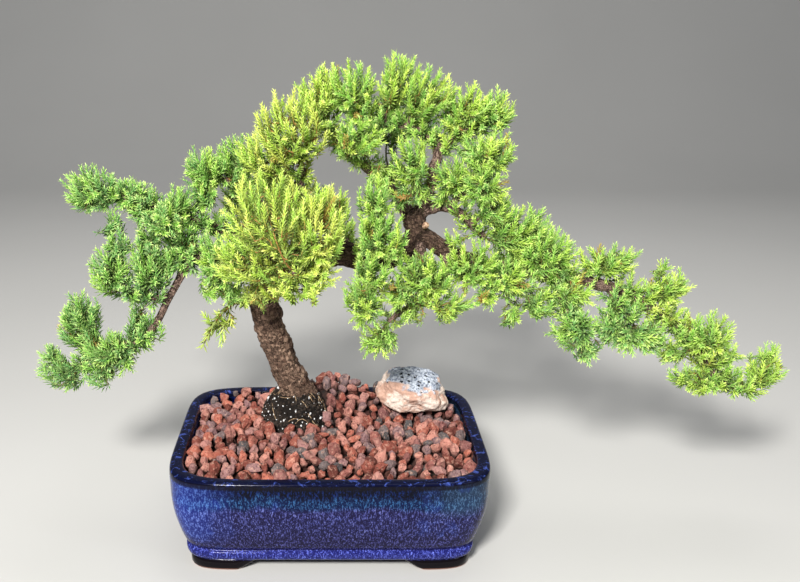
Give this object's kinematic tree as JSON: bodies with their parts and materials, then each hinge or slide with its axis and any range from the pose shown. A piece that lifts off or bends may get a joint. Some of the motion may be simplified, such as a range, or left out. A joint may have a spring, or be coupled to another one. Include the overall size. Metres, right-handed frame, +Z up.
{
  "type": "garden juniper bonsai in a glazed pot",
  "caption": "Juniper bonsai with a leaning trunk and a long trailing limb, needle foliage in airy pads, in a rectangular blue glazed pot with lava gravel and an accent stone.",
  "frame": {"origin": "centre of the whole tree's and pot's box, on the surface that the pot's feet stand on", "axes": "+Z up, +X along the pot's length towards the trailing limb, +Y towards the back, where the trunk stands"},
  "size_m": [0.493, 0.148, 0.3196],
  "materials": {
    "glaze": "gloss",
    "soil": "matte",
    "lava": "matte",
    "accent_stone": "matte",
    "bark": "matte",
    "needles": "satin"
  },
  "bodies": {
    "root": {"pot": "glaze", "soil": "soil", "lava_gravel": "lava", "accent_stone": "accent_stone", "trunk_and_limbs": "bark", "left_low_tip": "needles", "left_low_round": "needles", "left_low_body": "needles", "left_low_upright": "needles", "left_mid_outer": "needles", "left_mid_inner": "needles", "left_mid_top": "needles", "left_high_tip": "needles", "left_high_mid": "needles", "left_high_inner": "needles", "shoulder_tip": "needles", "shoulder_mid": "needles", "skirt_left": "needles", "weeping_shoot": "needles", "crown_left_fan": "needles", "crown_left_side": "needles", "front_fan_top": "needles", "front_fan_right": "needles", "front_fan_low": "needles", "front_fan_left": "needles", "crown_far_left": "needles", "crown_top_left": "needles", "crown_peak": "needles", "crown_top_mid": "needles", "crown_top_right": "needles", "crown_far_right": "needles", "crown_under": "needles", "mid_upright": "needles", "column_top": "needles", "column_mid": "needles", "column_low": "needles", "inner_right": "needles", "centre_up": "needles", "centre_mid": "needles", "centre_low": "needles", "centre_tail": "needles", "lower_left": "needles", "lower_mid": "needles", "lower_under": "needles", "right_top": "needles", "right_body": "needles", "right_low": "needles", "right_back": "needles", "right_mid": "needles", "drop_left": "needles", "drop_right": "needles", "far_upright": "needles", "far_body": "needles", "far_low": "needles", "right_tip": "needles", "back_crown": "needles", "back_left": "needles", "back_mid": "needles"}
  },
  "joints": []
}
